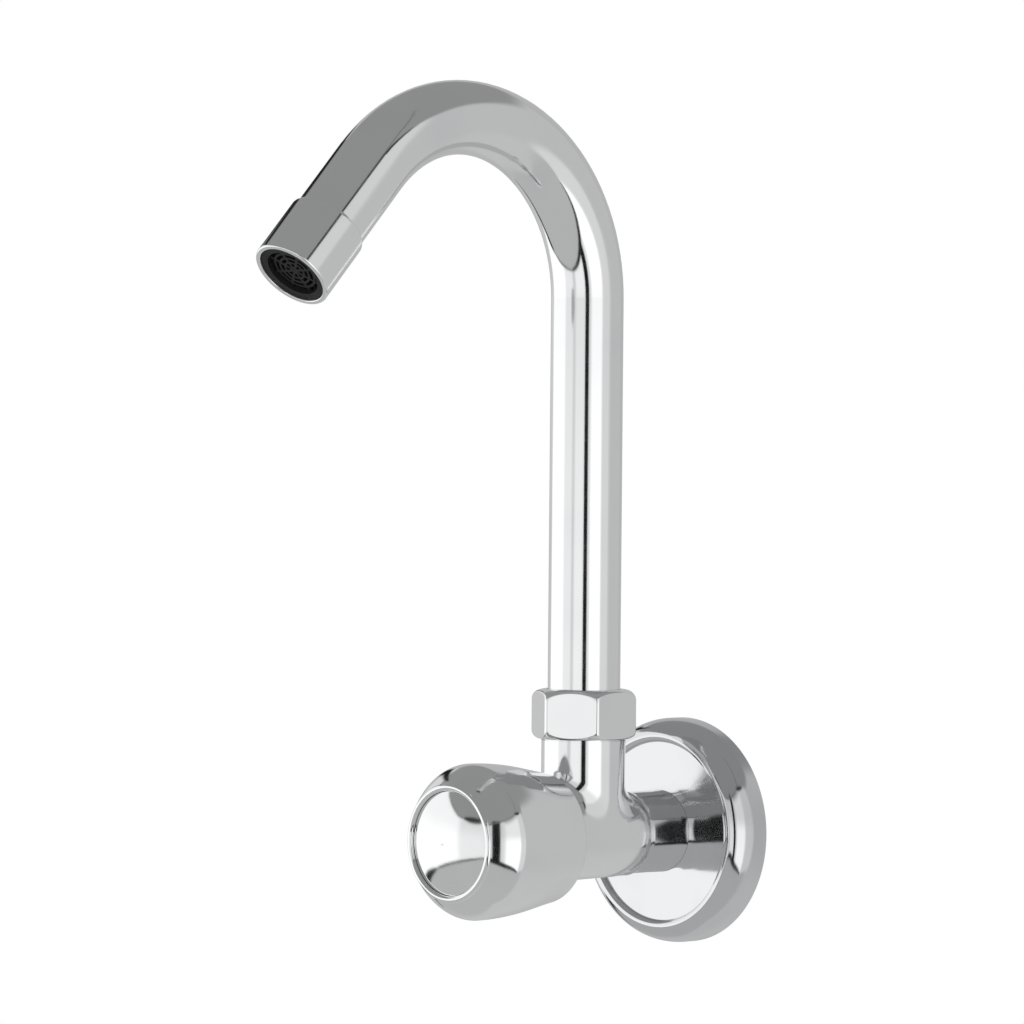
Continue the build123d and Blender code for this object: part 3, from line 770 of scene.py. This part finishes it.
def bar_outline(turn):
    """Radius of a hexagon with rounded corners, one corner at turn 0."""
    aside = abs((math.degrees(turn) + 30) % 60 - 30)
    centre = (half_flats - corner_round) / math.cos(math.radians(30))
    lean = math.radians(aside)
    tangent = math.atan2(corner_round * 0.5, centre + corner_round * math.cos(math.radians(30)))
    if lean < tangent:
        sideways = centre * math.sin(lean)
        return centre * math.cos(lean) + math.sqrt(corner_round**2 - sideways**2)
    return half_flats / math.cos(math.radians(30) - lean)


def crown_arc(start, drop, steps):
    """(radius, depth) from a crown's flat edge down to the corner circle."""
    width = corner_reach - start
    radius = (width * width + drop * drop) / (2 * drop)
    last = math.asin(width / radius)
    turns = [last * step / steps for step in range(steps + 1)]
    return [(start + radius * math.sin(t), radius * (1 - math.cos(t))) for t in turns]


def softer_minimum(first, second, softness):
    near = max(softness - abs(first - second), 0) / softness
    return min(first, second) - near * near * softness / 4


def make_nut():
    foot = crown_arc(foot_start, foot_drop, 22)
    crown = crown_arc(crown_start, crown_drop, 28)
    flats_bottom = nut_bottom + foot_drop
    levels = [(radius, nut_bottom + depth) for radius, depth in foot]
    for step in range(1, flat_levels + 1):
        levels.append((corner_reach + 1, flats_bottom + step * flat_level_step))
    levels += [(radius, nut_top - depth) for radius, depth in reversed(crown)]
    inside = [(nut_hole, nut_top), (nut_hole, nut_top - lip_depth)]
    inside += [(nut_thread, nut_top - lip_depth), (nut_thread, nut_bottom)]
    form = bmesh.new()
    rings = []
    for radius, height in levels + inside:
        ring = []
        for column in range(nut_columns):
            turn = 2 * math.pi * column / nut_columns
            reach = radius
            if radius > nut_thread or height > nut_top - lip_depth:
                reach = softer_minimum(bar_outline(turn), radius, crown_softness)
            across, along = reach * math.sin(turn), riser_at + reach * math.cos(turn)
            ring.append(form.verts.new((mm(across), mm(-along), mm(height))))
        rings.append(ring)
    for i, ring in enumerate(rings):
        above = rings[(i + 1) % len(rings)]
        crisp = i >= len(levels) - 1 or i == 0
        for column in range(nut_columns):
            after = (column + 1) % nut_columns
            form.faces.new((ring[column], ring[after], above[after], above[column])).smooth = True
            if crisp:
                form.edges.get((ring[column], ring[after])).smooth = False
    return form


settle("fine_nut", make_nut(), "wall_body", chrome, ["spout_nut"])

# %% [markdown]
# ## The inlet's thread
# Behind the flange the shank screws into the wall. The solid is a plain cylinder at the thread's
# size, which is right for fitting. The real one has a rolled helix, fourteen turns to the inch. A
# ridge of soft triangle section is wound round the shank. A bump pattern would be lighter, but the
# thread shows in outline from behind, and a bump has no outline.

# %% Thread
thread_pitch = 25.4 / 14
thread_radius = 10.4775
thread_ridge = 0.32
thread_start = 0.6
thread_end = 11.6
thread_columns = 96
thread_section = [(-0.5, 0.02), (-0.3, 0.08), (-0.1, 0.86), (0.0, 1.0), (0.1, 0.86), (0.3, 0.08)]


def make_thread():
    """A helical ridge whose height fades in and out at its two ends."""
    form = bmesh.new()
    turns = (thread_end - thread_start) / thread_pitch
    steps = int(turns * thread_columns)
    rows = []
    for step in range(steps + 1):
        turn = 2 * math.pi * step / thread_columns
        station = thread_start + thread_pitch * step / thread_columns
        fade = min(1, step / 24, (steps - step) / 24)
        row = []
        for place, rise in thread_section + [(0.5, 0.02)]:
            reach = thread_radius + thread_ridge * rise * fade + 0.01
            depth = station + place * thread_pitch
            row.append(
                form.verts.new(
                    (mm(reach * math.sin(turn)), mm(depth), mm(reach * math.cos(turn)))
                )
            )
        rows.append(row)
    for here, after in zip(rows, rows[1:]):
        for i in range(len(here) - 1):
            form.faces.new((here[i], here[i + 1], after[i + 1], after[i])).smooth = True
    return form


settle("inlet_thread_ridge", make_thread(), "wall_body", body_brass)

# %% [markdown]
# ## The knob
# The knob is a hollow die casting. Seen from the side its skin runs from the skirt in a long
# swelling line to the full waist, turns over a soft shoulder, and then comes in almost straight to
# the bead round the cap. Where that shoulder lies decides what part of the room the flank mirrors,
# so it is drawn here as two smooth curves with named directions at their ends. Inside are the web,
# the boss that grips the spindle, and four ribs.

# %% Curves with a direction at each end
knob_start = 62.5
knob_front = 101.4
skirt_radius = 19.8
skirt_round = 0.6
middle_radius = 22.1
middle_at = 76.0
full_radius = 23.3
full_at = 91.0
skirt_lean = (0.148, 0.989)
bead_radius = 16.65
bead_half_width = 1.05
flank_lean = (-0.743, 0.669)
shoulder_pull = 3.4
flank_pull = 2.8


def smooth_run(first, lean_first, second, lean_second, steps):
    """A cubic run between two points that leaves and arrives along the given derivatives."""
    points = []
    for step in range(1, steps + 1):
        t = step / steps
        shares = (
            2 * t**3 - 3 * t**2 + 1, t**3 - 2 * t**2 + t, -2 * t**3 + 3 * t**2, t**3 - t**2
        )
        points.append(
            tuple(
                sum(s * v[i] for s, v in zip(shares, (first, lean_first, second, lean_second)))
                for i in range(2)
            )
        )
    return points


def through_middle(first, lean_first, middle, last, lean_last, steps):
    """Two cubic runs that share one direction and one bend at the middle point."""
    a, b, c = Vector(first), Vector(middle), Vector(last)
    h1, h2 = (b - a).length, (c - b).length
    pull = 3 * (h2 / h1 * (b - a) + h1 / h2 * (c - b))
    lean = (pull - Vector(lean_first) * h2 - Vector(lean_last) * h1) / (2 * (h1 + h2))
    run = smooth_run(a, Vector(lean_first) * h1, b, lean * h1, steps)
    return run + smooth_run(b, lean * h2, c, Vector(lean_last) * h2, steps)


# %% Knob profile
knob_wall = 2.0
recess_radius = 15.6
recess_floor = 94.2
web_back = 91.2
knob_screw_hole = 2.2
boss_bore = 4.07
boss_radius = 7.5
boss_start = 81.1
rib_width = 2.0
rib_count = 4


def knob_profile():
    skirt = (skirt_radius, knob_start + skirt_round)
    full = (full_radius, full_at)
    foot = (bead_radius + bead_half_width, knob_front - bead_half_width)
    outer = arc(
        (skirt_radius - skirt_round, skirt[1]), (skirt_round, skirt_round), -90, 0, 8
    )
    outer += through_middle(skirt, skirt_lean, (middle_radius, middle_at), full, (0, 1), 36)
    leave = (0, 3 * shoulder_pull)
    arrive = (3 * flank_pull * flank_lean[0], 3 * flank_pull * flank_lean[1])
    outer += smooth_run(full, leave, foot, arrive, 64)
    outer += arc((bead_radius, foot[1]), (bead_half_width, bead_half_width), 0, 180, 28)[1:]
    inner = [
        (recess_radius, recess_floor), (knob_screw_hole, recess_floor),
        (knob_screw_hole, web_back), (boss_bore, web_back),
        (boss_bore, boss_start), (boss_radius, boss_start), (boss_radius, web_back),
        (full_radius - knob_wall, web_back),
    ]
    wall = through_middle(
        (skirt_radius - knob_wall, knob_start), skirt_lean,
        (middle_radius - knob_wall, middle_at), (full_radius - knob_wall, web_back), (0, 1), 12,
    )
    inner += list(reversed(wall))[1:]
    inner.append((skirt_radius - knob_wall, knob_start))
    return outer + inner


def add_rib(form, turn):
    """A thin upright wall from the boss to the shell."""
    near, far = boss_radius - 0.4, full_radius - knob_wall + 0.6
    half = rib_width / 2
    corners = []
    for station in (boss_start + 0.1, web_back + 0.4):
        for reach, aside in ((near, -half), (far, -half), (far, half), (near, half)):
            x = reach * math.sin(turn) + aside * math.cos(turn)
            z = reach * math.cos(turn) - aside * math.sin(turn)
            corners.append(form.verts.new(on_body(x, z, station)))
    form.faces.new(corners[:4])
    form.faces.new(corners[:3:-1])
    for i, after in ((0, 1), (1, 2), (2, 3), (3, 0)):
        form.faces.new([corners[i], corners[i + 4], corners[after + 4], corners[after]])


knob_form = turn_profile(knob_profile(), on_body, 320)
for rib in range(rib_count):
    add_rib(knob_form, 2 * math.pi * rib / rib_count)
settle("fine_knob", knob_form, "handle", chrome, ["knob"])

# %% [markdown]
# ## The studio
# Chrome shows nothing but its surroundings, so the room is the real finish of this tap. A white
# product tent is built as one large round shell that glows. It has ten panels: one lit panel on
# each side, paler and darker cloth between them, and shaded cloth behind. Each panel has one plain
# level below the eye and one above. The white walls stand on a greyer floor, under a grey ceiling,
# and the two borders aren't level, as a hung tent's never are. Thin dark seams follow the borders,
# two folds hang at the back, and a narrow dark gap is left for the camera. Lamps for each panel
# were the other way, but seams and soft borders are what makes chrome look like chrome.

# %% The tent's layout
room_radius = 2.5
room_centre = Vector((0, mm(-70), mm(90)))
bearing_steps = 480
height_steps = 240

ceiling_glow = 0.3
floor_glow = 0.5
seam_glow = 0.01
thin_seam_glow = 0.1
faint_seam_glow = 0.15
# where each panel starts, from the tap's front toward its right; its glow below and above the
# eye; and over how many degrees it fades into the ceiling
panels = {
    "shaded_cloth_behind": (-180, 0.5, 0.5, 6),
    "left_flap": (-114, 0.6, 0.75, 4),
    "left_lit_panel": (-89, 1.2, 1.05, 1),
    "front_left_cloth": (-28, 0.95, 0.8, 1),
    "front_opening": (0, 0.7, 0.7, 1),
    "front_right_cloth": (9, 1.0, 0.7, 1),
    "cloth_beside_camera": (37, 0.8, 0.7, 3),
    "right_lit_panel": (59, 1.25, 0.9, 9),
    "right_flap": (95, 0.75, 0.7, 3),
    "shaded_cloth_behind_right": (122, 0.55, 0.55, 6),
}
panel_join = 4
wall_turn_height = 4
wall_turn_softness = 14
border_softness = 0.7
# behind the tap the cloth hangs loose: the floor's edge blurs and its glow is a little higher
loose_from, loose_to = 106, 128
loose_softness = 9
loose_floor_lift = 0.16
seam_points = 9
seam_end_share = 0.3
seam_middle_share = 0.7
# the two borders of the wall, as (bearing, height)
floor_line = [
    (-180, -30), (-115, -30), (-75, -21), (0, -15), (20, -17), (60, -31), (95, -39), (135, -30),
    (180, -30),
]
ceiling_line = [
    (-180, 41), (-120, 34), (-60, 27), (-30, 13), (0, 12), (35, 22), (90, 37), (130, 35), (180, 41)
]
camera_gap = (39.5, 51.5, 27)


def seam_along(line, start, end, half_width, glow):
    """A dark seam that follows a border and narrows to both of its ends."""
    path = []
    for bearing in np.linspace(start, end, seam_points):
        way = (bearing - start) / (end - start)
        taper = seam_end_share + seam_middle_share * math.sin(math.pi * way)
        path.append((bearing, np.interp(bearing, *zip(*line)), half_width * taper))
    return glow, path


seams = [
    seam_along(floor_line, -112, -60, 2.6, seam_glow),
    seam_along(floor_line, -64, 4, 0.7, thin_seam_glow),
    seam_along(floor_line, 3, 94, 2.9, seam_glow),
    seam_along(ceiling_line, -60, -22, 0.5, faint_seam_glow),
    seam_along(ceiling_line, -24, -4, 2.2, seam_glow),
    seam_along(ceiling_line, -8, 88, 0.7, faint_seam_glow),
    seam_along(ceiling_line, 88, 114, 1.9, seam_glow),
]
# two folds of cloth at the back, as (bearing, height, half width)
seams.append((seam_glow, [(-124, 7, 1.0), (-114, 22, 3.3), (-90, 37, 0.6)]))
seams.append((faint_seam_glow, [(97, 38, 0.8), (118, 66, 0.6)]))
print("tent has", len(panels), "panels and", len(seams), "seams")


# %% How the tent glows
def along_panels(bearing, column):
    """One of the panels' values round the tent, with a soft join where each panel starts."""
    values = list(panels.values())
    level = np.full_like(bearing, values[0][column])
    for panel in values[1:]:
        share = ease(panel[0] - panel_join, panel[0] + panel_join, bearing)
        level += (panel[column] - level) * share
    return level


def seam_share(bearing, height, path):
    """1 on a dark seam, 0 off it, with a soft rim."""
    share = np.zeros_like(bearing)
    for (x1, y1, w1), (x2, y2, w2) in zip(path, path[1:]):
        run = (x2 - x1) ** 2 + (y2 - y1) ** 2
        way = np.clip(((bearing - x1) * (x2 - x1) + (height - y1) * (y2 - y1)) / run, 0, 1)
        away = np.hypot(bearing - x1 - way * (x2 - x1), height - y1 - way * (y2 - y1))
        half = w1 + way * (w2 - w1)
        share = np.maximum(share, 1 - ease(half * 0.6, half * 1.2 + 0.5, away))
    return share


def room_glow(bearing, height):
    """How brightly the tent glows in a direction, in degrees."""
    floor_edge = np.interp(bearing, *zip(*floor_line))
    ceiling_edge = np.interp(bearing, *zip(*ceiling_line))
    low = along_panels(bearing, 1)
    high = along_panels(bearing, 2)
    fade = along_panels(bearing, 3)
    half_turn = wall_turn_softness / 2
    upper = ease(wall_turn_height - half_turn, wall_turn_height + half_turn, height)
    wall = low + (high - low) * upper
    loose = ease(loose_from, loose_to, np.abs(bearing))
    blur = border_softness + loose_softness * loose
    above = ease(ceiling_edge - fade, ceiling_edge + border_softness, height)
    below = 1 - ease(floor_edge - blur, floor_edge + blur, height)
    floor = floor_glow * (1 + loose_floor_lift * loose)
    glow = wall + (ceiling_glow - wall) * above
    glow += (floor - glow) * below
    start, end, reach = camera_gap
    gap = ease(start - 1, start + 1, bearing) * (1 - ease(end - 1, end + 1, bearing))
    gap *= 1 - ease(reach - 2, reach + 2, np.abs(height))
    glow += (seam_glow - glow) * gap
    for path_glow, path in seams:
        glow += (path_glow - glow) * seam_share(bearing, height, path)
    return glow


def make_room():
    heights = np.repeat(np.linspace(-90, 90, height_steps + 1), bearing_steps)
    bearings = np.tile(np.arange(bearing_steps) * 360 / bearing_steps - 180, height_steps + 1)
    glows = room_glow(bearings, heights)
    lean = np.radians(heights)
    turn = np.radians(bearings)
    level = np.cos(lean)
    out = np.stack([np.sin(turn) * level, -np.cos(turn) * level, np.sin(lean)], axis=1)
    places = np.array(room_centre) + out * room_radius
    faces = []
    for row in range(height_steps):
        for column in range(bearing_steps):
            after = (column + 1) % bearing_steps
            low = row * bearing_steps
            high = low + bearing_steps
            faces.append((low + column, low + after, high + after, high + column))
    mesh = bpy.data.meshes.new("studio_room")
    mesh.from_pydata([tuple(place) for place in places], [], faces)
    glow_layer = mesh.attributes.new("glow", "FLOAT", "POINT")
    glow_layer.data.foreach_set("value", glows)
    room = bpy.data.objects.new("studio_room", mesh)
    scene.collection.objects.link(room)
    finish = bpy.data.materials.new("room_glow")
    finish.use_nodes = True
    tree = finish.node_tree
    tree.nodes.clear()
    glow = tree.nodes.new("ShaderNodeAttribute")
    glow.attribute_name = "glow"
    shine = tree.nodes.new("ShaderNodeEmission")
    output = tree.nodes.new("ShaderNodeOutputMaterial")
    tree.links.new(glow.outputs["Fac"], shine.inputs["Strength"])
    tree.links.new(shine.outputs["Emission"], output.inputs["Surface"])
    mesh.materials.append(finish)
    room.visible_camera = False
    room.visible_diffuse = False
    room.visible_shadow = False
    room.visible_transmission = False
    print("tent glows from", round(float(glows.min()), 2), "to", round(float(glows.max()), 2))
    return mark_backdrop(room)


make_room()

# %% [markdown]
# ## Floor, white surround and lamps
# A pale floor lies well below the tap, as under a tap on a stand, and catches its soft shadow. It
# fades out with distance, so it has no edge. The surround is plain white for the camera and for
# gloss, and gentler where it lights the pieces. Two large soft lamps add a side and a fill. They
# are hidden from gloss, since the tent already is what the chrome mirrors, and a second reflected
# lamp would look like a mistake.

# %% Floor
floor_height = mm(-300)
floor_reach = 1.25
floor_fade = 0.35
floor_columns = 96
floor_pale = (0.93, 0.93, 0.93)
floor_cloud = (0.905, 0.905, 0.91)


def make_floor():
    form = bmesh.new()
    rim = []
    for column in range(floor_columns):
        turn = 2 * math.pi * column / floor_columns
        place = (floor_reach * math.sin(turn), floor_reach * math.cos(turn), floor_height)
        rim.append(form.verts.new(place))
    form.faces.new(rim)
    mesh = bpy.data.meshes.new("studio_floor")
    form.to_mesh(mesh)
    form.free()
    floor = bpy.data.objects.new("studio_floor", mesh)
    scene.collection.objects.link(floor)
    finish, tree, shader = new_finish("floor_board")
    cloud = spread(tree, object_noise(tree, 3, 3.0), 0.3, 0.7)
    shade = mix_colours(tree, cloud, floor_pale, floor_cloud)
    tree.links.new(shade, shader.inputs["Base Color"])
    shader.inputs["Roughness"].default_value = 0.85
    distance = tree.nodes.new("ShaderNodeVectorMath")
    distance.operation = "LENGTH"
    tree.links.new(object_place(tree), distance.inputs[0])
    fade = spread(tree, distance.outputs["Value"], floor_fade, floor_reach, 1.0, 0.0)
    tree.links.new(fade, shader.inputs["Alpha"])
    mesh.materials.append(finish)
    floor.visible_glossy = False
    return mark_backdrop(floor)


make_floor()
print("floor at", floor_height, "m")

# %% Surround
surround_light = 0.62


def make_surround():
    world = bpy.data.worlds.new("white_surround")
    world.use_nodes = True
    tree = world.node_tree
    background = tree.nodes["Background"]
    background.inputs["Color"].default_value = (1, 1, 1, 1)
    ray = tree.nodes.new("ShaderNodeLightPath")
    seen = ray.outputs["Is Camera Ray"]
    for kind in ("Is Glossy Ray", "Is Transmission Ray"):
        either = tree.nodes.new("ShaderNodeMath")
        either.operation = "MAXIMUM"
        tree.links.new(seen, either.inputs[0])
        tree.links.new(ray.outputs[kind], either.inputs[1])
        seen = either.outputs["Value"]
    strength = spread(tree, seen, 0, 1, surround_light, 1.0)
    tree.links.new(strength, background.inputs["Strength"])
    scene.world = world


make_surround()


# %% Lamps
def soft_lamp(name, place, aim, size, watts):
    lamp = bpy.data.lights.new(name, "AREA")
    lamp.shape = "DISK"
    lamp.size = size
    lamp.energy = watts
    holder = bpy.data.objects.new(name, lamp)
    holder.location = place
    holder.rotation_euler = (Vector(aim) - Vector(place)).to_track_quat("-Z", "Y").to_euler()
    holder.visible_glossy = False
    scene.collection.objects.link(holder)
    print(name, "gives", watts, "W from", place)


tap_middle = (0, mm(-80), mm(80))
soft_lamp("left_softbox", (-1.3, -1.2, 1.1), tap_middle, 0.9, 11)
soft_lamp("right_fill", (1.5, -1.0, 0.5), tap_middle, 1.1, 5)
